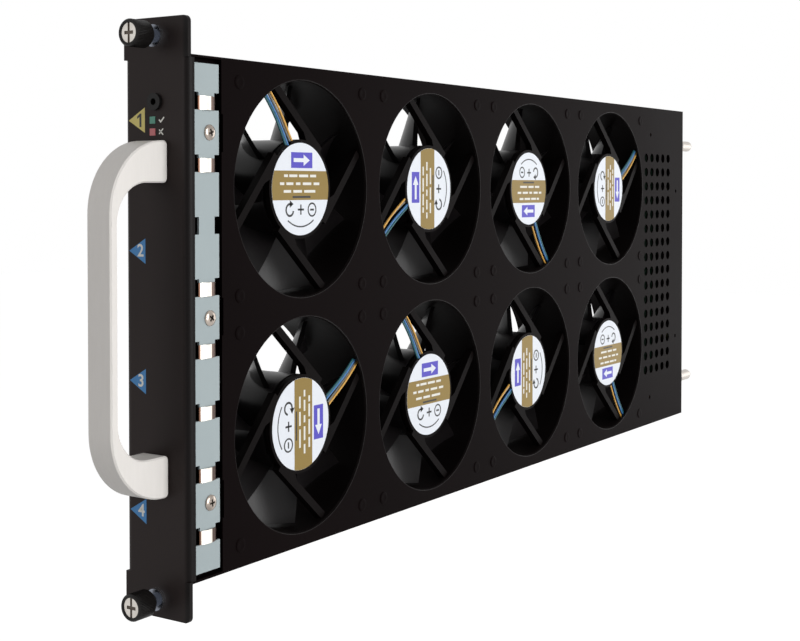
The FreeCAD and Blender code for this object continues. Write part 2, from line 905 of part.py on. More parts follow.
def make_guide_pins():
    for name, sign in (("upper_guide_pin", 1), ("lower_guide_pin", -1)):
        inside = rear_face - size.sheet
        stub, collar = size.pin_stub_diameter / 2, size.pin_collar_diameter / 2
        pin = size.pin_diameter / 2
        end = rear_face + size.pin_reach
        corners = [
            (ZERO, inside - size.pin_rivet),
            (collar, inside - size.pin_rivet),
            (collar, inside),
            (stub, inside),
            (stub, rear_face),
            (collar, rear_face),
            (collar, rear_face + size.pin_collar),
            (pin, rear_face + size.pin_collar),
            (pin, end - size.pin_point),
            (size.pin_tip_diameter / 2, end),
            (ZERO, end),
        ]
        turned(name, corners, (size.pin_offset, ZERO, size.pin_height * sign))


# --- fans -----------------------------------------------------------------------------------------------


def set_fan(thing, number, turn):
    """Put a fan's piece on its hub axis, turned about it."""
    column, row = number % COLUMNS, number // COLUMNS
    thing.Placement = Placement(Vector(), Rotation(Vector(1, 0, 0), turn))
    place(thing, ZERO, first_fan + pitch_along * column, fan_row(row))


def hub_face():
    return half_fan - size.hub_plate_recess


def bearing_end():
    return hub_face() - size.hub_plate_thickness - size.bearing_length


def drum_front():
    return hub_face() - size.hub_plate_thickness - size.drum_gap


def make_fan_frame(name):
    """Square housing with a round duct, a hub plate on four tangent struts and a bearing tube."""
    frame = Body(name)
    half = fan_side / 2
    frame.box("Additive", (-half_fan, half_fan), (-half, half), (-half, half))

    def is_corner(edge):
        return abs(edge.Length - size.fan_depth.number) < 1e-3

    frame.dress("Fillet", is_corner, size.fan_corner_radius)
    frame.cylinder("Subtractive", "X", (ZERO, ZERO), -half_fan, half_fan, size.duct_diameter)
    face = hub_face()
    inner = face - size.hub_plate_thickness
    frame.cylinder("Additive", "X", (ZERO, ZERO), inner, face, size.hub_diameter)
    sketch = frame.sketch("YZ", face - size.strut_depth, size.strut_angle)
    hub = size.hub_diameter / 2
    outside = hub + size.strut_overhang
    inside = outside - size.strut_width
    duct = size.duct_diameter / 2 + size.strut_embed
    end = root(duct * duct - outside * outside)
    merge = root(hub * hub - inside * inside)
    corners = [
        (outside, ZERO),
        (outside, end),
        (inside, end),
        (inside, merge + size.strut_root_length),
        (inside - size.strut_root_depth, merge),
        (inside - size.strut_root_depth, ZERO),
    ]
    outline(sketch, corners)
    strut = frame.pad(sketch, size.strut_depth)
    frame.polar([strut], "X", STRUTS)
    tube_end = bearing_end()
    frame.cylinder("Additive", "X", (ZERO, ZERO), tube_end, inner, size.bearing_diameter)
    bore = size.shaft_diameter + size.shaft_clearance * 2
    blind = face - size.bearing_wall_end
    frame.cylinder("Subtractive", "X", (ZERO, ZERO), tube_end, blind, bore)
    sketch = frame.sketch("YZ", face - size.lead_thickness)
    outline(sketch, lead_corners(), lead_bows())
    frame.pocket(sketch, size.lead_thickness + size.hub_plate_recess)
    return frame


def lead_corners():
    """Outline of the flat bundle of leads from a start near the hub to the edge of the housing."""
    half = size.lead_width / 2
    top = fan_side / 2
    return [
        (-size.lead_start_across + half, size.lead_start_up),
        (-size.lead_end_across + half, top),
        (-size.lead_end_across - half, top),
        (-size.lead_start_across - half, size.lead_start_up),
    ]


def lead_bows():
    return {0: size.lead_bow, 2: -size.lead_bow}


def make_impeller(name):
    """A drum with swept, twisted blades, bored for the bearing tube and the shaft."""
    impeller = Body(name)
    back = size.drum_recess - half_fan
    front = drum_front()
    impeller.cylinder("Additive", "X", (ZERO, ZERO), back, front, size.hub_diameter)
    hub = size.hub_diameter / 2
    tip = size.duct_diameter / 2 - size.running_clearance
    stations = (
        (hub - size.blade_embed, 0.0),
        ((hub + tip) / 2, MIDDLE_SHARE),
        (tip + size.blade_trim, 1.0),
    )
    sketches = []
    for radius, share in stations:
        blend = [
            root_size * (1 - share) + tip_size * share
            for root_size, tip_size in (
                (size.blade_root_front, size.blade_tip_front),
                (size.blade_root_back, size.blade_tip_back),
                (size.blade_root_half, size.blade_tip_half),
                (size.blade_root_thickness, size.blade_tip_thickness),
                (size.blade_root_bow, size.blade_tip_bow),
            )
        ]
        ahead, behind, half, thickness, bow = blend
        shift = size.blade_sweep * (share * share)
        corners = [
            (ahead, shift - half),
            (ahead - thickness, shift - half),
            (-behind - thickness / 2, shift + half),
            (-behind + thickness / 2, shift + half),
        ]
        sketch = impeller.sketch("XY", radius)
        outline(sketch, corners, {1: -bow, 3: bow})
        sketches.append(sketch)
    loft = impeller.feature("AdditiveLoft", sketches[0])
    loft.Sections = sketches[1:]
    impeller.polar([loft], "X", BLADES)
    sketch = impeller.sketch("XY")
    reach = tip * 2
    outline(sketch, [(-half_fan, tip), (half_fan, tip), (half_fan, reach), (-half_fan, reach)])
    impeller.turn("Groove", sketch, "X")
    cavity = size.bearing_diameter + size.bearing_clearance * 2
    deep = bearing_end() - size.bearing_wall_end
    impeller.cylinder("Subtractive", "X", (ZERO, ZERO), deep, front, cavity)
    grip = deep - size.shaft_grip
    impeller.cylinder("Subtractive", "X", (ZERO, ZERO), grip, deep, size.shaft_diameter)
    return impeller


def make_shaft(name):
    shaft = Body(name)
    start = bearing_end() - size.bearing_wall_end - size.shaft_grip
    end = hub_face() - size.bearing_wall_end - size.shaft_end_play
    shaft.cylinder("Additive", "X", (ZERO, ZERO), start, end, size.shaft_diameter)
    return shaft


def make_leads(name):
    leads = Body(name)
    sketch = leads.sketch("YZ", hub_face() - size.lead_thickness)
    outline(sketch, lead_corners(), lead_bows())
    leads.pad(sketch, size.lead_thickness)
    sketch = leads.sketch("YZ", hub_face() - size.lead_thickness)
    circle(sketch, ZERO, ZERO, size.hub_diameter)
    leads.pocket(sketch, size.lead_thickness)
    return leads


def clone(source, label):
    """Another piece of the same shape, which follows its source."""
    piece = document.addObject("PartDesign::Body", label)
    piece.Label = label
    copy = piece.newObject("PartDesign::FeatureBase", "Clone")
    copy.BaseFeature = source
    piece.Tip = copy
    return piece


def make_fans():
    """Eight equal fans: the first is modelled, and the rest are clones of its pieces."""
    makers = (
        ("frame", make_fan_frame, FAN_TURNS),
        ("impeller", make_impeller, IMPELLER_TURNS),
        ("shaft", make_shaft, IMPELLER_TURNS),
        ("leads", make_leads, FAN_TURNS),
    )
    for kind, maker, turns in makers:
        first = maker(f"fan_1_{kind}").body
        for number, turn in enumerate(turns):
            piece = clone(first, f"fan_{number + 1}_{kind}") if number else first
            set_fan(piece, number, turn)


# --- build, check and write -----------------------------------------------------------------------------


def write_all():
    document.recompute()
    for thing in document.Objects:
        if "Invalid" in thing.State or "Error" in thing.State:
            raise RuntimeError(f"{thing.Label} failed: {thing.State}")
    pieces = [thing for thing in document.Objects if thing.TypeId == "PartDesign::Body"]
    os.makedirs(DIRECTORY, exist_ok=True)
    for piece in pieces:
        if piece.Shape.isNull() or not piece.Shape.isValid():
            raise RuntimeError(f"{piece.Label} has no valid shape")
    for piece in pieces:
        piece.Shape.exportStep(f"{DIRECTORY}/{piece.Label}.step")
        print(f"{piece.Label}: {len(piece.Shape.Solids)} solid(s), {piece.Shape.Volume:.1f} mm3")


make_case()
make_cover()
make_front_panel()
make_handle()
make_handle_screws()
for name, sign in (("upper", 1), ("lower", -1)):
    make_thumbscrew(name, sign)
make_contact_strip()
make_contact_clips()
make_strip_screws()
make_jack()
make_lamps()
make_controller_board()
make_standoffs()
make_connector()
make_guide_pins()
make_fans()
write_all()
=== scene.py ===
# %% [markdown]
# # Rack fan tray
# This notebook dresses a slim fan tray for a rack. The metal and plastic pieces arrive from the
# CAD model at their real size, in metres, with +X out of the fans' label side, +Y towards the rear
# and +Z up. The steps give each of them its finish, and add what is too fine for the solids: the
# knurl, the screw recesses, the wires, the labels, the rivets and the printed marks.

import math
import random

import bmesh
import bpy
from mathutils import Matrix, Vector


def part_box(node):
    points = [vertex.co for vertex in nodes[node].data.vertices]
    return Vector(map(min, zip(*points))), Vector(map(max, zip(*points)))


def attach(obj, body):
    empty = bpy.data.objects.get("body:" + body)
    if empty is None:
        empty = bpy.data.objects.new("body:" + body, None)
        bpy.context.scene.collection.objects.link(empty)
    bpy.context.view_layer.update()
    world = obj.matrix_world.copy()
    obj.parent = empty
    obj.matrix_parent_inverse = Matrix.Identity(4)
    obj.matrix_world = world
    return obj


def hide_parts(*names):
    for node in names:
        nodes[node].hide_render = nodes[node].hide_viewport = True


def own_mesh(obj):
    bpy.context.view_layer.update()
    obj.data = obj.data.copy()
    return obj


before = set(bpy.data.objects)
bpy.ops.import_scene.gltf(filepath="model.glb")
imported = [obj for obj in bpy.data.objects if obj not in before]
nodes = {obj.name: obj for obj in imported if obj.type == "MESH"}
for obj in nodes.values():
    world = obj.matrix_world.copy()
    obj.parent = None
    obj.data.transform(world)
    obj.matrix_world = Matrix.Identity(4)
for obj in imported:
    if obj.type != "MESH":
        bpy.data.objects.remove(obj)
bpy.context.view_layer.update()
MM = 0.001
FANS = range(1, 9)

# %% [markdown]
# ## Writing finishes as arithmetic
# A finish is a small graph of nodes. Wiring them by hand hides the idea, so one class wraps an
# output socket and overloads the arithmetic: an expression such as `1 - mask * 0.3` then adds its
# own Math nodes. Colours would turn grey in a Math node, so they are mixed with `blend`. Every
# other node comes from `Finish.node`.


# %% Sockets that add up
class Wire:
    """An output socket with arithmetic."""

    def __init__(self, finish, socket):
        self.finish, self.socket = finish, socket

    def math(self, operation, first, second):
        return self.finish.node("ShaderNodeMath", {"operation": operation}, {0: first, 1: second})

    def __add__(self, other):
        return self.math("ADD", self, other)

    def __sub__(self, other):
        return self.math("SUBTRACT", self, other)

    def __mul__(self, other):
        return self.math("MULTIPLY", self, other)

    def __truediv__(self, other):
        return self.math("DIVIDE", self, other)

    def __radd__(self, other):
        return self.math("ADD", other, self)

    def __rsub__(self, other):
        return self.math("SUBTRACT", other, self)

    def __rmul__(self, other):
        return self.math("MULTIPLY", other, self)

    def __gt__(self, other):
        return self.math("GREATER_THAN", self, other)

    def ramp(self, low, high):
        """A smooth step: 0 below low, 1 above high."""
        settings = {"interpolation_type": "SMOOTHSTEP"}
        return self.finish.node("ShaderNodeMapRange", settings, {0: self, 1: low, 2: high})


print("sockets add, subtract, multiply, divide and compare")

# %% [markdown]
# `Finish` owns one material: it sets the principled shader's sockets, makes nodes, and keeps the few
# things that every finish of this tray needs, which are a place on the piece, a noise, a mix of two
# colours and a relief. Each could be written out where it is used, but then the idea of a finish
# would drown in node names.


# %% Materials as expressions
class Finish:
    """A procedural material: a principled shader fed by expressions."""

    def __init__(self, name, **values):
        self.material = bpy.data.materials.new(name)
        self.material.use_nodes = True
        self.tree = self.material.node_tree
        self.shader = self.tree.nodes["Principled BSDF"]
        self.set(**values)

    def plug(self, socket, value):
        if isinstance(value, Wire):
            self.tree.links.new(value.socket, socket)
        elif isinstance(value, tuple) and len(value) == 3 and socket.type == "RGBA":
            socket.default_value = (*value, 1)
        else:
            socket.default_value = value

    def set(self, **values):
        """Set the shader's sockets: Base_Color=..., Roughness=..."""
        for name, value in values.items():
            self.plug(self.shader.inputs[name.replace("_", " ")], value)
        return self

    def node(self, kind, settings=None, sockets=None, output=0):
        """Any node: its settings first, then its sockets."""
        node = self.tree.nodes.new(kind)
        for name, value in (settings or {}).items():
            setattr(node, name, value)
        for name, value in (sockets or {}).items():
            self.plug(node.inputs[name], value)
        return Wire(self, node.outputs[output])

    def place(self):
        """Position on the piece, in metres."""
        return self.node("ShaderNodeTexCoord", output="Object")

    def axis(self, number):
        """One coordinate of the position, in metres."""
        return self.node("ShaderNodeSeparateXYZ", None, {0: self.place()}, number)

    def noise(self, per_metre, detail=2.0, stretch=(1.0, 1.0, 1.0)):
        """Noise between 0 and 1. A stretch below 1 draws it out along that axis."""
        where = self.place()
        if stretch != (1.0, 1.0, 1.0):
            where = self.node("ShaderNodeVectorMath", {"operation": "MULTIPLY"}, {0: where, 1: stretch})
        return self.node(
            "ShaderNodeTexNoise", None, {"Vector": where, "Scale": per_metre, "Detail": detail}
        )

    def blend(self, mask, start, end):
        """Mix two colours by a mask."""
        return self.node("ShaderNodeMix", {"data_type": "RGBA"}, {0: mask, 6: start, 7: end}, 2)

    def bump(self, height, distance, strength=1.0):
        """Relief from a height between 0 and 1, as deep as distance, in metres."""
        sockets = {"Height": height, "Distance": distance, "Strength": strength}
        self.plug(self.shader.inputs["Normal"], self.node("ShaderNodeBump", None, sockets))
        return self


print("finishes can be written as expressions")

# %% [markdown]
# ## Powder-coated sheet
# The case, its cover and the panel are thin steel sheet under a satin black powder coat. Such a
# coat is never quite flat: the powder melts into a fine orange peel and leaves the gloss a little
# uneven. A soft noise of about a millimetre gives the peel through a bump, and a broader one shifts
# the roughness. The colour keeps a hint of warm brown. The panel is given paler tones than the case
# as painted sheen, and on its bent sides a mask along X darkens it to the case's black as painted
# shade.


# %% Powder coat
BEND_PAINTED_SHADE = (0.0030, 0.0018, 0.0018)


def powder_coat(name, dark, light, gloss, flange=None):
    """A black coat. flange gives the X where a bend starts and ends, past which painted shade darkens it.
    """
    coat = Finish(name, Specular_IOR_Level=gloss)
    cloud = coat.noise(14, 3)
    peel = coat.noise(1500, 2)
    colour = coat.blend(cloud, dark, light)
    if flange:
        # Past the bend the colour turns to the case's black: painted shade on the bent sides.
        colour = coat.blend(coat.axis(0).ramp(*flange), colour, BEND_PAINTED_SHADE)
    coat.set(Base_Color=colour, Roughness=0.36 + cloud * 0.1 + peel * 0.06)
    return coat.bump(peel, 0.00004, 0.5)


panel_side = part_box("front_panel")[1].x
panel_bend = (panel_side - 2.8 * MM, panel_side - 1.0 * MM)
black_sheet = powder_coat("black_sheet", (0.0026, 0.0014, 0.0015), (0.0052, 0.0030, 0.0031), 0.012)
# The panel's tones are paler than the case's: painted sheen.
panel_painted_sheen_tones = ((0.0150, 0.0105, 0.0100), (0.026, 0.0185, 0.0175))
black_panel = powder_coat("black_panel", *panel_painted_sheen_tones, 0.10, panel_bend)
print("sheet finishes made")

# %% [markdown]
# The contact strip is a narrow sheet in a pale grey-blue paint. Its tone drifts a little over a few
# centimetres, and a fine speckle of half a millimetre gives the paint its tooth.

# %% Strip paint
grey_strip = Finish("grey_strip", Specular_IOR_Level=0.3)
speckle = grey_strip.noise(2600, 2)
tone = grey_strip.noise(40, 2)
grey_strip.set(
    Base_Color=grey_strip.blend(tone, (0.33, 0.385, 0.40), (0.38, 0.44, 0.45)),
    Roughness=0.38 + speckle * 0.16,
).bump(speckle, 0.00003, 0.5)
print("strip paint made")

# %% [markdown]
# ## Bare and plated metal
# The handle is aluminium, blasted and anodised. The clear oxide on it scatters light, so it looks
# like pale satin with the finest of grains, and its Metallic stays near 0: a true metal would mirror
# the studio instead. As it is bent from drawn bar, one noise is stretched along the grip and varies
# the colour. A finer one gives the grain.

# %% Satin aluminium
satin_aluminium = Finish("satin_aluminium", Metallic=0.04, Specular_IOR_Level=0.2)
drawn = satin_aluminium.noise(900, 3, stretch=(1.0, 1.0, 0.12))
grain = satin_aluminium.noise(5200, 2)
satin_aluminium.set(
    Base_Color=satin_aluminium.blend(drawn, (0.75, 0.718, 0.685), (0.805, 0.775, 0.742)),
    Roughness=0.42 + grain * 0.12,
).bump(grain, 0.00002, 0.4)
print("handle finish made")

# %% [markdown]
# Screws, washers, springs and shafts are plated or ground steel, and the board's standoffs are
# brass: all are mirror-like but a little cloudy. The colour of a metal sits in the base colour, with
# Metallic at 1, and a cloud a few millimetres wide mixes it with a darker shade. One function makes
# them all, because they differ only in tone and polish.


# %% Plated metals
def plated(name, colour, shade, rough):
    metal = Finish(name, Metallic=1.0)
    cloud = metal.noise(260, 3)
    grain = metal.noise(1200, 2)
    metal.set(Base_Color=metal.blend(cloud, shade, colour), Roughness=rough + cloud * 0.12)
    return metal.bump(grain, 0.00002, 0.35)


bright_nickel = plated("bright_nickel", (0.66, 0.63, 0.59), (0.46, 0.43, 0.39), 0.16)
screw_nickel = plated("screw_nickel", (0.60, 0.53, 0.47), (0.13, 0.10, 0.08), 0.12)
# The darkest of these is no metal of its own but painted shade for the screw recesses.
painted_recess_shade = plated("painted_recess_shade", (0.10, 0.085, 0.07), (0.05, 0.04, 0.035), 0.4)
zinc_steel = plated("zinc_steel", (0.72, 0.72, 0.73), (0.56, 0.57, 0.58), 0.3)
shaft_steel = plated("shaft_steel", (0.68, 0.68, 0.68), (0.55, 0.55, 0.55), 0.2)
spring_steel = plated("spring_steel", (0.55, 0.55, 0.56), (0.4, 0.4, 0.4), 0.28)
brass = plated("brass", (0.86, 0.66, 0.32), (0.7, 0.5, 0.22), 0.25)
print("plated metals made")

# %% [markdown]
# The knobs are aluminium, anodised black. The dye swallows nearly all of the metal's reflection, so
# it is written as a dark satin surface with little gloss, and a fine shimmer varies its colour and
# its roughness.

# %% Black anodising
black_anodised = Finish("black_anodised", Specular_IOR_Level=0.16)
shimmer = black_anodised.noise(2400, 2)
black_anodised.set(
    Base_Color=black_anodised.blend(shimmer, (0.004, 0.0035, 0.0035), (0.010, 0.009, 0.0085)),
    Roughness=0.24 + shimmer * 0.15,
).bump(shimmer, 0.00002, 0.3)
print("knob finish made")

# %% [markdown]
# The guide pin is one turned piece in two finishes: a pale plated pin and a dark collar. The split
# is a mask on the Y coordinate, which turns over at the collar's face.

# %% Guide pins
COLLAR = 5.8
pin_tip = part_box("upper_guide_pin")[1].y
collar_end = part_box("tray_case")[1].y + COLLAR * MM
pin_finish = Finish("guide_pin")
past_collar = pin_finish.axis(1) > collar_end
pin_cloud = pin_finish.noise(420, 3)
pin_finish.set(
    Base_Color=pin_finish.blend(past_collar, (0.30, 0.28, 0.26), (0.56, 0.515, 0.47)),
    Metallic=0.35 + past_collar * 0.35,
    Roughness=0.30 + pin_cloud * 0.15,
).bump(pin_cloud, 0.00003, 0.3)
print(f"guide pins reach {(pin_tip - collar_end) / MM:.1f} mm past their collars")

# %% [markdown]
# The earth contact clips are plated spring strip, bent into low arches. The crown of each arch is
# bright, and towards the ends, where the arch curves away into its slot, the colour is darkened to
# brown as painted shade. The mask is the share of the clip's width along Y: it is bright from a
# tenth of the width to three fifths of it.

# %% Contact clips
clip_low, clip_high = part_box("contact_clips")
clip_width = clip_high.y - clip_low.y
contact_nickel = Finish("contact_nickel", Metallic=1.0)
share = (contact_nickel.axis(1) - clip_low.y) / clip_width
# Towards both ends the colour darkens to brown: painted shade where the arch turns into its slot.
painted_end_shade = 1 - share.ramp(0.04, 0.14) + share.ramp(0.58, 0.70)
wiped = contact_nickel.noise(700, 3, stretch=(1.0, 0.2, 1.0))
contact_nickel.set(
    Base_Color=contact_nickel.blend(painted_end_shade, (0.93, 0.88, 0.80), (0.07, 0.036, 0.024)),
    Roughness=0.22 + wiped * 0.14,
).bump(wiped, 0.00002, 0.3)
print(f"clips are {clip_width / MM:.1f} mm wide")

# %% [markdown]
# The ferrule that holds a thumbscrew is polished nickel. Its flange catches the light, and its barrel
# behind the knob is given a dark colour as painted shade. The two meet at the flange's front face.

# %% Ferrules
FERRULE_FLANGE = 1.5
ferrule_nickel = Finish("ferrule_nickel", Metallic=1.0)
flange_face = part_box("front_panel")[0].y - FERRULE_FLANGE * MM
on_flange = ferrule_nickel.axis(1) > flange_face
rubbed = ferrule_nickel.noise(500, 3)
# In front of the flange, the barrel's dark colour is painted shade from the knob.
ferrule_nickel.set(
    Base_Color=ferrule_nickel.blend(on_flange, (0.20, 0.215, 0.25), (0.84, 0.89, 0.95)),
    Roughness=0.16 + rubbed * 0.12,
).bump(rubbed, 0.00002, 0.3)
print(f"the ferrules turn bright {FERRULE_FLANGE:.1f} mm in front of the panel")

# %% [markdown]
# ## Plastics
# Fan housings and impellers are glass-filled black plastic. The housing has a fine spark-eroded
# grain, and the blades are smoother, with faint flow marks and a satin sheen. The lamps are
# coloured windows, and the jack is glossy.


# %% Moulded plastics
MICRON = 0.000001
PLASTICS = {
    # name: dark, light, roughness, grain per metre, grain depth in microns, gloss
    "fan_black": ((0.0024, 0.0017, 0.0017), (0.0050, 0.0036, 0.0036), 0.38, 3000, 30, 0.025),
    "rotor_black": ((0.0045, 0.0038, 0.0040), (0.009, 0.0075, 0.008), 0.24, 1800, 20, 0.22),
    "connector_black": ((0.012, 0.012, 0.012), (0.02, 0.02, 0.02), 0.4, 2600, 30, 0.2),
    "gloss_black": ((0.004, 0.004, 0.004), (0.008, 0.007, 0.007), 0.2, 900, 10, 0.16),
    "board_green": ((0.002, 0.009, 0.005), (0.003, 0.014, 0.007), 0.35, 1400, 30, 0.1),
    "green_lens": ((0.04, 0.2, 0.14), (0.07, 0.28, 0.2), 0.2, 900, 10, 0.5),
    "red_lens": ((0.44, 0.1, 0.11), (0.56, 0.15, 0.16), 0.2, 900, 10, 0.5),
}


def moulded(name, dark, light, rough, grain_size, depth, gloss):
    plastic = Finish(name, Specular_IOR_Level=gloss)
    flow = plastic.noise(60, 3)
    grain = plastic.noise(grain_size, 2)
    colour = plastic.blend(flow, dark, light)
    plastic.set(Base_Color=colour, Roughness=rough + flow * 0.1 + grain * 0.08)
    return plastic.bump(grain, depth * MICRON, 0.5)


plastics = {name: moulded(name, *values) for name, values in PLASTICS.items()}
print(f"{len(plastics)} plastics made")

# %% [markdown]
# ## Wire insulation, ink and label stock
# Each fan's four wires differ only in colour, so one function makes their vinyl. Label stock is
# coated paper: nearly smooth, a trace of fibre, with flat inks on it.


# %% Vinyl and inks
def vinyl(name, colour):
    skin = Finish(name, Specular_IOR_Level=0.5)
    mottle = skin.noise(700, 2)
    darker = tuple(0.78 * part for part in colour)
    skin.set(Base_Color=skin.blend(mottle, darker, colour), Roughness=0.34 + mottle * 0.14)
    return skin.bump(mottle, 0.00002, 0.3)


def ink(name, colour):
    film = Finish(name, Specular_IOR_Level=0.35)
    fibre = film.noise(3400, 3)
    paler = tuple(min(1.0, part * 1.12 + 0.004) for part in colour)
    film.set(Base_Color=film.blend(fibre, colour, paler), Roughness=0.42 + fibre * 0.12)
    return film.bump(fibre, 0.00001, 0.3)


VINYLS = {
    "green": vinyl("green_vinyl", (0.012, 0.105, 0.125)),
    "blue": vinyl("blue_vinyl", (0.055, 0.20, 0.46)),
    "orange": vinyl("orange_vinyl", (0.74, 0.40, 0.075)),
    "white": vinyl("white_vinyl", (0.20, 0.19, 0.165)),
}
label_stock = ink("label_stock", (0.72, 0.75, 0.80))
olive_ink = ink("olive_ink", (0.235, 0.155, 0.03))
violet_ink = ink("violet_ink", (0.075, 0.06, 0.45))
black_ink = ink("black_ink", (0.012, 0.012, 0.014))
pale_ink = ink("pale_ink", (0.72, 0.71, 0.66))
slot_yellow = ink("slot_yellow", (0.62, 0.52, 0.17))
slot_blue = ink("slot_blue", (0.05, 0.21, 0.47))
print("inks made")


# %% [markdown]
# ## Dressing the CAD nodes
# Most solids already have the right shape. They keep their mesh and only get a finish, assigned to
# the material slots that came with them.

# %% Finishes on the solids
DRESS = {
    "tray_case": black_sheet,
    "tray_cover": black_sheet,
    "front_panel": black_panel,
    "handle": satin_aluminium,
    "handle_screws": zinc_steel,
    "contact_strip": grey_strip,
    "contact_clips": contact_nickel,
    "strip_screws": screw_nickel,
    "jack": plastics["gloss_black"],
    "green_lamp": plastics["green_lens"],
    "red_lamp": plastics["red_lens"],
    "controller_board": plastics["board_green"],
    "board_standoffs": brass,
    "rear_connector": plastics["connector_black"],
}
for side in ("upper", "lower"):
    DRESS[f"{side}_ferrule"] = ferrule_nickel
    DRESS[f"{side}_knob"] = black_anodised
    DRESS[f"{side}_thumbscrew"] = bright_nickel
    DRESS[f"{side}_spring_washer"] = zinc_steel
    DRESS[f"{side}_spring"] = spring_steel
    DRESS[f"{side}_guide_pin"] = pin_finish
for fan in FANS:
    DRESS[f"fan_{fan}_frame"] = plastics["fan_black"]
    DRESS[f"fan_{fan}_impeller"] = plastics["rotor_black"]
    DRESS[f"fan_{fan}_shaft"] = shaft_steel
    DRESS[f"fan_{fan}_leads"] = VINYLS["blue"]
for name, finish in DRESS.items():
    node = nodes[name]
    if not node.material_slots:
        node.data.materials.append(None)
    for slot in node.material_slots:
        slot.material = finish.material
print(f"{len(DRESS)} of {len(nodes)} nodes dressed")


# %% [markdown]
# ## Making a piece
# New pieces are built from points and faces with bmesh. `piece` turns the bmesh into an object,
# gives it its finishes and lets it ride on a body.


# %% Pieces from meshes
CREASE = math.radians(35)


def piece(name, mesh, body, finishes, smooth=True):
    """Make an object of a bmesh, in metres, and let it ride on a body."""
    bmesh.ops.recalc_face_normals(mesh, faces=mesh.faces)
    for face in mesh.faces:
        face.smooth = smooth
    data = bpy.data.meshes.new(name)
    mesh.to_mesh(data)
    mesh.free()
    for finish in finishes:
        data.materials.append(finish.material)
    thing = bpy.data.objects.new(name, data)
    bpy.context.scene.collection.objects.link(thing)
    if smooth:
        bpy.context.view_layer.objects.active = thing
        chosen = {"object": thing, "active_object": thing, "selected_editable_objects": [thing]}
        with bpy.context.temp_override(**chosen):
            bpy.ops.object.shade_smooth_by_angle(angle=CREASE)
    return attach(thing, body)


print("pieces can be made from meshes")

# %% [markdown]
# Knobs, screw heads, rivets and edge bands are round, so one function turns a profile into a ring of
# faces. Blender's Screw modifier does this too, but it can't change single radii, which the knurl
# needs. A placing is a matrix that sets a shape, drawn flat in millimetres, on a face of the tray.


# %% Turning and placing
def lathe(mesh, profile, placing, steps, radius=None):
    """Turn a closed profile of (radius, along) in millimetres about the placing's third axis.
    radius(spot, r, step) may change the radius of one of its points at a step, as a knurl does."""
    rings = []
    for step in range(steps):
        angle = 2 * math.pi * step / steps
        ring = []
        for spot, (r, along) in enumerate(profile):
            r = radius(spot, r, step) if radius else r
            point = Vector((r * math.cos(angle) * MM, r * math.sin(angle) * MM, along * MM))
            ring.append(mesh.verts.new(placing @ point))
        rings.append(ring)
    for step in range(steps):
        here, there = rings[step], rings[(step + 1) % steps]
        for spot in range(len(profile)):
            after = (spot + 1) % len(profile)
            mesh.faces.new((here[spot], here[after], there[after], there[spot]))
    bmesh.ops.remove_doubles(mesh, verts=mesh.verts, dist=1e-7)


def facing_front(x, y, z):
    """A placing whose third axis points out of the panel, towards -Y."""
    return Matrix(((1, 0, 0, x), (0, 0, -1, y), (0, 1, 0, z), (0, 0, 0, 1)))


def facing_side(x, y, z, turn=0.0):
    """A placing whose third axis points out of the label side, towards +X."""
    axes = Matrix(((0, 0, 1, x), (1, 0, 0, y), (0, 1, 0, z), (0, 0, 0, 1)))
    return axes @ Matrix.Rotation(math.radians(turn), 4, "Z")


print("profiles can be turned and placed")

# %% [markdown]
# ## Thumbscrew knobs
# A captive thumbscrew is turned by hand, so its knob is knurled. The knurl is cut in rows of fine
# teeth, here by moving every other point of the turned outside in by a sixth of a millimetre. A
# texture could fake it, but not the toothed outline. The knob replaces the smooth solid and turns
# with its body.

# %% Knurled knobs
TOOTH, TOOTH_POINTS = 0.17, 112
BORE, WELL, WELL_RIM, STEM = 2.6, 3.22, 3.45, 1.55


def knurl(spot, r, step):
    """The radius of a knob's profile, which steps in at every other tooth point on the grip."""
    return r - TOOTH * (step % 2) if spot in (3, 4) else r


for side in ("upper", "lower"):
    low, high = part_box(f"{side}_knob")
    middle = (low + high) / 2
    outer = (high.x - low.x) / 2 / MM
    length = (high.y - low.y) / MM
    profile = [
        (BORE, 0.0),
        (outer - 1.35, 0.0),
        (outer - 0.35, 1.2),
        (outer, 1.7),
        (outer, length - 0.45),
        (outer - 0.45, length),
        (WELL_RIM, length),
        (WELL, length - 0.2),
        (WELL, length - 2.0),
        (STEM, length - 2.0),
        (STEM, length - 2.8),
        (BORE, length - 2.8),
    ]
    mesh = bmesh.new()
    placing = facing_front(middle.x, high.y, middle.z)
    lathe(mesh, profile, placing, TOOTH_POINTS, knurl)
    knob = piece(f"{side}_knurled_knob", mesh, f"{side}_turn", [black_anodised])
    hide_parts(f"{side}_knob")
print(f"two knobs knurled with {TOOTH_POINTS // 2} teeth each")

# %% [markdown]
# ## Springs
# A coil spring behind each knob pushes the screw back. The solid is a plain sleeve. Here it is wound
# from wire: a helix of points with a small ring of vertices at each. A curve with a bevel would be
# shorter to write, but only a mesh can be squashed, as the coil is when the knob is pushed in. Each
# coil gets a mesh of its own.

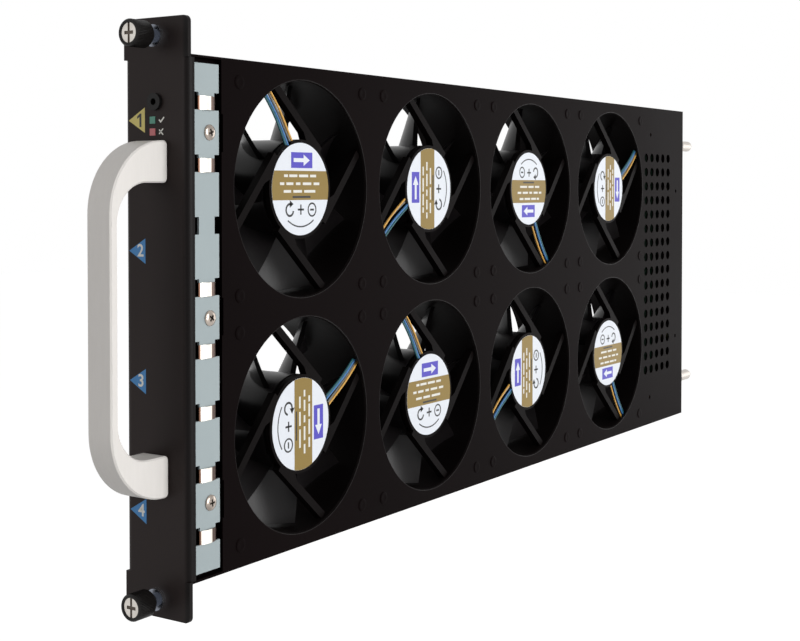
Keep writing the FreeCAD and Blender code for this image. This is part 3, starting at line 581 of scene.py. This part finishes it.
# %% Coil springs
SPRING_WIRE, SPRING_TURNS = 0.24, 5.5
for side in ("upper", "lower"):
    low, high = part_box(f"{side}_spring")
    middle = (low + high) / 2
    outer = (high.x - low.x) / 2
    wire = SPRING_WIRE * MM
    around, spots = 8, 24
    mesh = bmesh.new()
    rings = []
    for step in range(int(SPRING_TURNS * spots) + 1):
        share = step / (SPRING_TURNS * spots)
        angle = 2 * math.pi * SPRING_TURNS * share
        lift = low.y + wire + (high.y - low.y - 2 * wire) * share
        out = Vector((math.cos(angle), 0, math.sin(angle)))
        ring = []
        for turn in range(around):
            bend = 2 * math.pi * turn / around
            point = out * (outer - wire + wire * math.cos(bend)) + Vector((0, wire * math.sin(bend), 0))
            ring.append(mesh.verts.new(point + Vector((middle.x, lift, middle.z))))
        rings.append(ring)
    for here, there in zip(rings, rings[1:]):
        for turn in range(around):
            after = (turn + 1) % around
            mesh.faces.new((here[turn], here[after], there[after], there[turn]))
    mesh.faces.new(rings[0])
    mesh.faces.new(rings[-1])
    spring = piece(f"{side}_coil", mesh, "tray", [spring_steel])
    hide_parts(f"{side}_spring")
    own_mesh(spring)

# %% [markdown]
# ## Cross-head screws
# Three small screws hold the contact strip. Their heads are shallow domes with a cross recess. The
# dome is turned, and the recess is cut with a Boolean of two tapered blades, which leaves real
# walls that catch the light.


# %% Cross recess
BLADE_TOP, BLADE_TAPER = 0.4, 0.45


def blades(reach, width, depth, placing, turn):
    """A cross of two tapered blades, as a cutter."""
    mesh = bmesh.new()
    for quarter in (0, 90):
        rotation = placing @ Matrix.Rotation(math.radians(turn + quarter), 4, "Z")
        corners = []
        for along, shrink in ((BLADE_TOP, 1.0), (-depth, BLADE_TAPER)):
            for a, b in ((-1, -1), (1, -1), (1, 1), (-1, 1)):
                spot = Vector((a * reach * shrink * MM, b * width / 2 * MM, along * MM))
                corners.append(mesh.verts.new(rotation @ spot))
        sides = [(side, (side + 1) % 4, (side + 1) % 4 + 4, side + 4) for side in range(4)]
        for face in ((3, 2, 1, 0), (4, 5, 6, 7), *sides):
            mesh.faces.new([corners[n] for n in face])
    bmesh.ops.recalc_face_normals(mesh, faces=mesh.faces)
    data = bpy.data.meshes.new("cutter")
    mesh.to_mesh(data)
    mesh.free()
    thing = bpy.data.objects.new("cutter", data)
    bpy.context.scene.collection.objects.link(thing)
    return thing


print("cutters for recesses ready")

# %% [markdown]
# The cutter is taken away from the head with a Boolean. Afterwards every face that lies below the
# dome's own surface belongs to the recess, and gets a painted shade.

# %% Cutting and shading
RECESS_REACH, RECESS_SKIN, RECESS_FLOOR = 1.7, 0.07, -0.2


def cut(thing, cutter):
    """Apply a Boolean difference and remove the cutter."""
    modifier = thing.modifiers.new("recess", "BOOLEAN")
    modifier.operation, modifier.solver, modifier.object = "DIFFERENCE", "EXACT", cutter
    modifier.use_self = True
    graph = bpy.context.evaluated_depsgraph_get()
    done = bpy.data.meshes.new_from_object(thing.evaluated_get(graph))
    thing.modifiers.clear()
    thing.data = done
    bpy.data.objects.remove(cutter)


def shade_recess(thing, placing, surface, finish):
    """Give painted shade to the faces below a head's surface, which is a height over radius in mm."""
    thing.data.materials.append(finish.material)
    number = len(thing.data.materials) - 1
    back = placing.inverted()
    for face in thing.data.polygons:
        spot = back @ face.center / MM
        radius = math.hypot(spot.x, spot.y)
        if radius < RECESS_REACH and surface(radius) - RECESS_SKIN > spot.z > RECESS_FLOOR:
            face.material_index = number


print("recesses can be cut and shaded")

# %% [markdown]
# The three heads sit in a row on the strip. Their domes are turned from a short profile, the crosses
# stand at the odd angles at which the screws were tightened, and the walls of each recess are given
# a painted shade.

# %% Strip screws
low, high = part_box("strip_screws")
strip_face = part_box("contact_strip")[1].x
across = (low.y + high.y) / 2
radius = (high.y - low.y) / 2 / MM
heads = [high.z - radius * MM, (low.z + high.z) / 2, low.z + radius * MM]
rise = (high.x - strip_face) / MM
HEAD_RIM = 0.35
CROSS_REACH, CROSS_WIDTH, CROSS_DEPTH = 1.55, 0.66, 0.8
crown = rise - HEAD_RIM


def dome_height(r):
    return HEAD_RIM + crown * math.sqrt(1 - (r / radius) ** 2)


mesh = bmesh.new()
dome = [(0.0, -0.3), (radius - 0.1, -0.3), (radius - 0.1, 0.0), (radius, 0.1), (radius, HEAD_RIM)]
for share, lift in ((0.9, 0.45), (0.72, 0.72), (0.42, 0.93), (0.0, 1.0)):
    dome.append((radius * share, HEAD_RIM + crown * lift))
for height in heads:
    lathe(mesh, dome, facing_side(strip_face, across, height), 40)
screws = piece("strip_screw_heads", mesh, "tray", [screw_nickel])
for height, turn in zip(heads, (20, 55, 5)):
    top = facing_side(strip_face + rise * MM, across, height)
    cut(screws, blades(CROSS_REACH, CROSS_WIDTH, CROSS_DEPTH * rise, top, turn))
    shade_recess(screws, facing_side(strip_face, across, height), dome_height, painted_recess_shade)
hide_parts("strip_screws")
print("three cross-head screws made")

# %% [markdown]
# ## Flat shapes: labels and printed marks
# Ink and stickers are nearly flat, but a real edge still shows in a close view. `Flat` gathers thin
# plates with their own finishes into one mesh, drawn on a face in millimetres.


# %% Flat shapes
class Flat:
    """Thin plates on a face, gathered into one piece."""

    def __init__(self, placing):
        self.placing, self.mesh, self.finishes = placing, bmesh.new(), []

    def plate(self, corners, low, high, finish):
        """A plate with these corners, from low to high above the face, in millimetres."""
        if finish not in self.finishes:
            self.finishes.append(finish)
        number = self.finishes.index(finish)
        under, top = [
            [self.mesh.verts.new(self.placing @ Vector((a * MM, b * MM, level * MM))) for a, b in corners]
            for level in (low, high)
        ]
        faces = [self.mesh.faces.new(under[::-1]), self.mesh.faces.new(top)]
        for spot in range(len(corners)):
            after = (spot + 1) % len(corners)
            faces.append(self.mesh.faces.new((under[spot], under[after], top[after], top[spot])))
        for face in faces:
            face.material_index = number

    def bar(self, a, b, width, height, low, high, finish):
        """A plain rectangle about a middle."""
        w, h = width / 2, height / 2
        self.plate([(a - w, b - h), (a + w, b - h), (a + w, b + h), (a - w, b + h)], low, high, finish)

    def done(self, name, body, slot):
        return piece(name, self.mesh, body, self.finishes, smooth=False)


print("flat shapes ready")

# %% [markdown]
# Round fields need corners on a circle. A disc, a curved band and the slice of a disc between two
# heights are all that the labels use.


# %% Corners of round shapes
def disc(radius, steps=72, start=0.0, end=360.0):
    """Corners on a circle, or on an arc of it."""
    spread = math.radians(end - start)
    last = steps if end - start >= 360 else steps - 1
    angles = [math.radians(start) + spread * step / last for step in range(steps)]
    return [(radius * math.cos(angle), radius * math.sin(angle)) for angle in angles]


def arc_band(radius, width, start, end, centre=(0.0, 0.0), steps=24):
    """Corners of a curved band."""
    outer = disc(radius + width / 2, steps, start, end)
    inner = disc(radius - width / 2, steps, start, end)
    return [(a + centre[0], b + centre[1]) for a, b in outer + inner[::-1]]


def segment(radius, low, high, steps=20):
    """Corners of the slice of a disc between two heights."""
    first, last = math.degrees(math.asin(low / radius)), math.degrees(math.asin(high / radius))
    return disc(radius, steps, first, last) + disc(radius, steps, 180 - last, 180 - first)


print("round shapes ready")

# %% [markdown]
# ## Recesses of the thumbscrews
# The slot and cross of a thumbscrew get a painted shade, so its floor is dark. The head is one
# solid with one finish, so a dark plate of painted shade lies in each recess, a third of a millimetre
# below the head's face.

# %% Recess shade plates
SHADE_PLATE_DEPTH, SLOT_SHADE, CROSS_SHADE = 0.35, 0.88, (3.78, 1.08)
for side in ("upper", "lower"):
    low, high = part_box(f"{side}_thumbscrew")
    shade_plate = Flat(facing_front(0.0, low.y + SHADE_PLATE_DEPTH * MM, (low.z + high.z) / 2))
    # Each plate is painted shade on the floor of the slot and of the cross.
    shade_plate.bar(0.0, 0.0, SLOT_SHADE, (high.x - low.x) / MM - 0.1, -0.5, 0.0, painted_recess_shade)
    shade_plate.bar(0.0, 0.0, *CROSS_SHADE, -0.5, 0.01, painted_recess_shade)
    shade_plate.done(f"{side}_recess_shade_plate", f"{side}_turn", "bright_screw")
print("recesses filled")

# %% [markdown]
# ## Fan labels
# The fans are seated in four different turns, which takes their leads to different corners. The
# label and the leads of a fan share its turn, and both are placed from the middle of its hub, which
# is measured on its shaft.

# %% Hubs
FAN_TURNS = (0, 90, 180, 270, 270, 0, 90, 180)
HUB_RECESS = 1.0


def fan_hub(fan):
    """The X of the hub's face, and the Y and Z of its middle."""
    low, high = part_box(f"fan_{fan}_shaft")
    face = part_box(f"fan_{fan}_frame")[1].x - HUB_RECESS * MM
    return face, (low.y + high.y) / 2, (low.z + high.z) / 2


print(f"hub of fan 1 at {[round(part / MM, 1) for part in fan_hub(1)]} mm")

# %% [markdown]
# Each hub carries a round white label with an olive band and a violet block above it. The fields
# stay generic: an arrow for the air, ruled lines in the band, and an arrow for the turning
# direction beneath it. All eight labels are the same, each turned as its fan is seated. An image
# would blur in a close view, so the fields are plates a few hundredths of a millimetre thick, in
# three layers: the stock, the print on it and the lines over that.

# %% Round labels
LABEL, RULE = 16.5, 0.95
STOCK, PRINT, OVERPRINT = 0.12, 0.16, 0.19
RULED_ROWS = (
    (4.7, ((-8.6, 2.2), (-4.4, 4.6), (1.6, 5.4), (7.2, 3.6))),
    (1.9, ((-10.8, 2.4), (-6.4, 4.0), (-1.6, 2.6), (3.6, 5.0), (9.2, 3.4))),
    (-0.8, ((-7.8, 4.2), (-1.9, 5.0), (5.2, 6.6))),
)
for fan, turn in zip(FANS, FAN_TURNS):
    label = Flat(facing_side(*fan_hub(fan), turn))
    label.plate(disc(LABEL), 0.0, STOCK, label_stock)
    label.plate(segment(LABEL - 0.05, -3.9, 6.5), STOCK, PRINT, olive_ink)
    label.bar(0.6, 10.3, 12.4, 5.6, STOCK, PRINT, violet_ink)
    arrow = [(-4.2, 9.6), (1.6, 9.6), (1.6, 8.3), (5.2, 10.3), (1.6, 12.3), (1.6, 11.0), (-4.2, 11.0)]
    label.plate(arrow, PRINT, OVERPRINT, label_stock)
    for row, lines in RULED_ROWS:
        for middle, width in lines:
            label.bar(middle, row, width, RULE, PRINT, OVERPRINT, pale_ink)
    label.bar(0.4, -2.8, 10.4, 0.7, PRINT, OVERPRINT, black_ink)
    label.plate(arc_band(2.1, 0.75, 60, 350, (-6.4, -7.4)), STOCK, PRINT, black_ink)
    label.plate([(-6.4, -3.9), (-6.4, -6.6), (-4.3, -5.3)], STOCK, PRINT, black_ink)
    label.bar(0.0, -7.3, 3.6, 0.7, STOCK, PRINT, black_ink)
    label.bar(0.0, -7.3, 0.7, 3.6, STOCK, PRINT, black_ink)
    label.plate(arc_band(2.3, 0.6, 0, 359, (6.6, -7.4), 40), STOCK, PRINT, black_ink)
    label.bar(6.6, -7.4, 2.2, 0.7, STOCK, PRINT, black_ink)
    label.plate(arc_band(13.4, 0.5, 236, 304, steps=28), STOCK, PRINT, black_ink)
    label.done(f"fan_{fan}_label", "tray", "fan_black")
print("eight labels made")

# %% [markdown]
# ## Fan leads
# Four insulated wires leave each hub and curve to the corner of the housing, where they pass under
# the side sheet. The solid is a flat bar. Curves with a round bevel give real wires, each on a
# slightly different bow, as loose wires take. Each has a shift to one side at the hub and at the rim,
# in millimetres, and the white one also sinks beneath the orange one halfway along.

# %% Wires
LEAD_PATH = ((-4.6, 13.6), (-8.0, 19.2), (-12.0, 26.0), (-17.6, 32.6), (-24.2, 39.4))
WIRE_RADIUS, WIRE_DEPTH, LOOSE = 0.44, 0.66, 0.2
WIRES = (
    ("green", -1.75, -1.3, 0.0),
    ("blue", -0.75, -0.3, 0.0),
    ("white", 1.2, 1.5, 0.8),
    ("orange", 2.1, 1.7, 0.0),
)
for fan, turn in zip(FANS, FAN_TURNS):
    loose = random.Random(fan)
    face, y, z = fan_hub(fan)
    placing = facing_side(face - WIRE_DEPTH * MM, y, z, turn)
    first = None
    for colour, at_hub, at_rim, sink in WIRES:
        data = bpy.data.curves.new(f"fan_{fan}_wire_{colour}", "CURVE")
        data.dimensions, data.bevel_depth, data.bevel_resolution = "3D", WIRE_RADIUS * MM, 4
        data.resolution_u, data.use_fill_caps = 8, True
        spline = data.splines.new("NURBS")
        spline.points.add(len(LEAD_PATH) - 1)
        for spot, (a, b) in enumerate(LEAD_PATH):
            near = LEAD_PATH[min(spot + 1, len(LEAD_PATH) - 1)]
            past = LEAD_PATH[max(spot - 1, 0)]
            way = Vector((near[0] - past[0], near[1] - past[1])).normalized()
            share = spot / (len(LEAD_PATH) - 1)
            shift = at_hub + (at_rim - at_hub) * share + loose.uniform(-LOOSE, LOOSE)
            deep = sink * math.sin(math.pi * share)
            point = placing @ (Vector((a + way.y * shift, b - way.x * shift, -deep)) * MM)
            spline.points[spot].co = (*point, 1.0)
        spline.order_u, spline.use_endpoint_u = 4, True
        thing = bpy.data.objects.new(data.name, data)
        bpy.context.scene.collection.objects.link(thing)
        data.materials.append(VINYLS[colour].material)
        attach(thing, "tray")
        first = first or thing
    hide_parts(f"fan_{fan}_leads")
print(f"{len(WIRES) * len(FANS)} wires laid")

# %% [markdown]
# ## Rivets
# Four flat-headed rivets hold each fan to the sheet, at the standard 71.5 mm spacing. They are
# coated with the sheet, so they show only as shallow discs. One profile is turned at each place, and
# all the heads of a sheet make one piece.

# %% Rivet heads
HALF_SPACING = 35.75
RIVET = [(0.0, -0.1), (2.3, -0.1), (2.4, 0.06), (2.3, 0.2), (1.9, 0.3), (1.2, 0.22), (0.0, 0.2)]
for node, sign in (("tray_case", 1), ("tray_cover", -1)):
    low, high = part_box(node)
    sheet_face = high.x if sign > 0 else low.x
    mesh = bmesh.new()
    for fan in FANS:
        _, y, z = fan_hub(fan)
        for across in (-1, 1):
            for up in (-1, 1):
                placing = facing_side(
                    sheet_face, y + across * HALF_SPACING * MM, z + up * HALF_SPACING * MM
                )
                if sign < 0:
                    placing = placing @ Matrix.Rotation(math.pi, 4, "X")
                lathe(mesh, RIVET, placing, 28)
    piece(f"{node}_rivets", mesh, "tray", [black_sheet])
print("rivets set")

# %% [markdown]
# ## Edges of the openings
# Where the sheet is punched, the powder coat draws back from the sharp edge and the cut face shines a
# little through it. A mask would need the edge's own place, so a thin turned band in each opening
# carries that glossier edge. Its paler colour is partly the worn coat and partly a painted highlight.

# %% Edge bands
OPENING, BAND = 38.675, 0.12
worn_edge_and_highlight = Finish("worn_edge_and_highlight", Specular_IOR_Level=0.12)
wear = worn_edge_and_highlight.noise(300, 2)
worn_edge_and_highlight.set(
    # The paler colour is partly worn coat and partly painted highlight.
    Base_Color=worn_edge_and_highlight.blend(wear, (0.005, 0.004, 0.004), (0.022, 0.018, 0.018)),
    Roughness=0.3 + wear * 0.1,
).bump(wear, 0.00002, 0.3)
sheet_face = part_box("tray_case")[1].x
mesh = bmesh.new()
band = [(OPENING - 0.05, -0.75), (OPENING - 0.05, -0.03), (OPENING, 0.02)]
band += [(OPENING + BAND, 0.02), (OPENING + BAND, -0.75)]
for fan in FANS:
    _, y, z = fan_hub(fan)
    lathe(mesh, band, facing_side(sheet_face, y, z), 120)
piece("opening_edges", mesh, "tray", [worn_edge_and_highlight])
print("eight edge bands set")

# %% [markdown]
# ## Slot numbers
# Four arrowheads on the panel point at the slots of the chassis, with a number on each. The first
# is yellow with a dark number, the rest are blue. The numbers come from Blender's own font, turned
# into flat meshes, and the 1 is a polygon of its own, plainer than the font's.

# %% Arrowheads
panel_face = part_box("front_panel")[0].y
ARROWS = ((64.5, "1", slot_yellow, black_ink), (21.8, "2", slot_blue, pale_ink))
ARROWS += ((-20.9, "3", slot_blue, pale_ink), (-63.6, "4", slot_blue, pale_ink))
ARROWHEAD = [(-11.9, 0.0), (-4.75, -4.13), (-4.75, 4.13)]
ONE = [(-0.2, -2.2), (0.65, -2.2), (0.65, 2.2), (0.05, 2.2), (-1.2, 1.3), (-1.2, 0.5), (-0.2, 1.1)]
MARK, DIGIT, DIGIT_HALF, DIGIT_WEIGHT, DIGIT_PLACE = 0.05, 5.7, 0.015, 0.11, -6.9


def digit(text, placing, finish):
    """A flat number, its middle on the placing's origin."""
    font = bpy.data.curves.new("digit", "FONT")
    font.body, font.size, font.extrude = text, DIGIT * MM, DIGIT_HALF * MM
    font.align_x, font.align_y = "CENTER", "CENTER"
    font.offset = DIGIT_WEIGHT * MM
    carrier = bpy.data.objects.new("digit", font)
    bpy.context.scene.collection.objects.link(carrier)
    graph = bpy.context.evaluated_depsgraph_get()
    data = bpy.data.meshes.new_from_object(carrier.evaluated_get(graph))
    bpy.data.objects.remove(carrier)
    mesh = bmesh.new()
    mesh.from_mesh(data)
    bmesh.ops.transform(mesh, matrix=placing, verts=mesh.verts)
    return piece(f"slot_number_{text}", mesh, "tray", [finish], smooth=False)


for height, text, colour, number_ink in ARROWS:
    marks = Flat(facing_front(0.0, panel_face, height * MM))
    marks.plate(ARROWHEAD, 0.0, MARK, colour)
    marks.done(f"slot_arrow_{text}", "tray", "black_panel")
    if text == "1":
        one = Flat(facing_front(DIGIT_PLACE * MM, panel_face - MARK * MM, height * MM))
        one.plate(ONE, 0.0, 0.03, number_ink)
        one.done("slot_number_1", "tray", "black_panel")
    else:
        place = facing_front(DIGIT_PLACE * MM, panel_face - (MARK + DIGIT_HALF) * MM, height * MM)
        digit(text, place, number_ink)
print("slot arrows printed")

# %% [markdown]
# Beside the green lamp a tick is printed, and beside the red one a cross, so that they can be told
# apart without their colours. Both are polygons of a few corners, drawn like the arrowheads.

# %% Tick and cross
for node, name in (("green_lamp", "tick"), ("red_lamp", "cross")):
    low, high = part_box(node)
    middle = (low.z + high.z) / 2
    marks = Flat(facing_front(0.0, panel_face, middle))
    if name == "tick":
        corners = [(1.3, -0.1), (1.7, 0.25), (2.2, -0.3), (3.5, 1.0), (3.85, 0.65), (2.2, -1.0)]
        marks.plate(corners, 0.0, 0.04, pale_ink)
    else:
        stroke = [(1.7, -0.85), (3.4, 0.85), (3.1, 1.15), (1.4, -0.55)]
        marks.plate(stroke, 0.0, 0.04, pale_ink)
        marks.plate([(a, -b) for a, b in stroke[::-1]], 0.0, 0.04, pale_ink)
    marks.done(f"lamp_{name}", "tray", "black_panel")
print("lamp signs printed")

# %% [markdown]
# ## Studio
# The tray hangs above a plain pale floor in soft light. Seen by the camera, in a gloss or through
# glass the world and the floor are white, and what lights the pieces is dimmer, so pale surfaces keep
# their tone and metal still has something bright to show. More light would whiten the background
# too, but the labels and the handle would be lost in it.


# %% World
AMBIENT, WHITE = 0.28, (1.0, 1.0, 1.0)


def seen_ray(finish):
    """Above zero for rays from the camera, from a gloss or through glass."""
    names = ("Is Camera Ray", "Is Glossy Ray", "Is Transmission Ray")
    rays = [finish.node("ShaderNodeLightPath", output=name) for name in names]
    return rays[0] + rays[1] + rays[2]


class World(Finish):
    """The world's nodes, written the same way."""

    def __init__(self, name):
        world = bpy.data.worlds.new(name)
        world.use_nodes = True
        bpy.context.scene.world = world
        self.tree = world.node_tree
        self.shader = self.tree.nodes["Background"]


studio = World("studio")
studio.set(Color=WHITE, Strength=AMBIENT + (seen_ray(studio) > 0.5) * (1.0 - AMBIENT))
print(f"world white where it is seen, at {AMBIENT:.0%} as light")

# %% [markdown]
# The floor is a wide square below the tray. Its grey takes the tray's shadow, and for the rays that
# are seen a glow is added to it, so that it runs into the white of the world.

# %% Floor
FLOOR_GREY, FLOOR_GLOW = (0.42, 0.42, 0.42), 0.86
FLOOR_HEIGHT, FLOOR_REACH = -0.30, 4
mesh = bmesh.new()
for a, b in ((-1, -1), (1, -1), (1, 1), (-1, 1)):
    mesh.verts.new((a * FLOOR_REACH, b * FLOOR_REACH, FLOOR_HEIGHT))
mesh.faces.new(mesh.verts)
data = bpy.data.meshes.new("floor")
mesh.to_mesh(data)
mesh.free()
floor = bpy.data.objects.new("floor", data)
bpy.context.scene.collection.objects.link(floor)
pale_floor = Finish("pale_floor", Roughness=0.9, Specular_IOR_Level=0.1, Base_Color=FLOOR_GREY)
surface = Wire(pale_floor, pale_floor.shader.outputs[0])
glow = pale_floor.node("ShaderNodeEmission", None, {"Color": WHITE, "Strength": FLOOR_GLOW})
both = pale_floor.node("ShaderNodeAddShader", None, {0: surface, 1: glow})
seen = seen_ray(pale_floor) > 0.5
mixed = pale_floor.node("ShaderNodeMixShader", None, {0: seen, 1: surface, 2: both})
pale_floor.plug(pale_floor.tree.nodes["Material Output"].inputs["Surface"], mixed)
data.materials.append(pale_floor.material)
print(f"floor {-FLOOR_HEIGHT * 100:.0f} cm below the tray's middle")

# %% [markdown]
# Three soft boxes light the tray: a strong one faces the label side, a weak one stands before the
# panel, so that the handle's front stays a shade darker than its sides, and one at the rear serves
# the far end of the sheet. Sun lamps would give hard shadows in the ducts, so each is a wide square.


# %% Lamps
def lamp(name, spot, target, size, power):
    """A square soft box that faces its target."""
    data = bpy.data.lights.new(name, "AREA")
    data.shape, data.size, data.energy = "SQUARE", size, power
    thing = bpy.data.objects.new(name, data)
    bpy.context.scene.collection.objects.link(thing)
    thing.location = spot
    thing.rotation_euler = (Vector(target) - Vector(spot)).to_track_quat("-Z", "Y").to_euler()


lamp("side_box", (1.6, 0.1, 0.25), (0, 0.15, 0), 1.1, 22)
lamp("front_box", (-0.5, -1.5, 0.15), (0, 0, 0.05), 0.8, 5)
lamp("rear_box", (0.55, 1.75, -0.1), (0, 0.35, -0.05), 0.9, 4)
print("studio lit")

# %% [markdown]
# The camera stands at the front on the label side, a little above the tray's middle. It looks nearly
# level and its lens is shifted down, so that upright edges stay almost upright.

# %% Camera
SENSOR, LENS = 36, 62.7912
camera_data = bpy.data.cameras.new("camera")
camera = bpy.data.objects.new("camera", camera_data)
bpy.context.scene.collection.objects.link(camera)
camera_data.sensor_width = SENSOR
camera_data.lens = LENS
camera_data.shift_x, camera_data.shift_y = 0.0083, -0.1266
camera.location = (0.3148, -0.3354, 0.0427)
forward = Vector((-0.554, 0.832, -0.023))
camera.rotation_mode = "QUATERNION"
camera.rotation_quaternion = forward.to_track_quat("-Z", "Y")
camera_data.clip_start = 0.01
bpy.context.scene.camera = camera
bpy.context.scene.view_settings.view_transform = "Standard"
print(f"lens {camera_data.lens:.1f} mm")
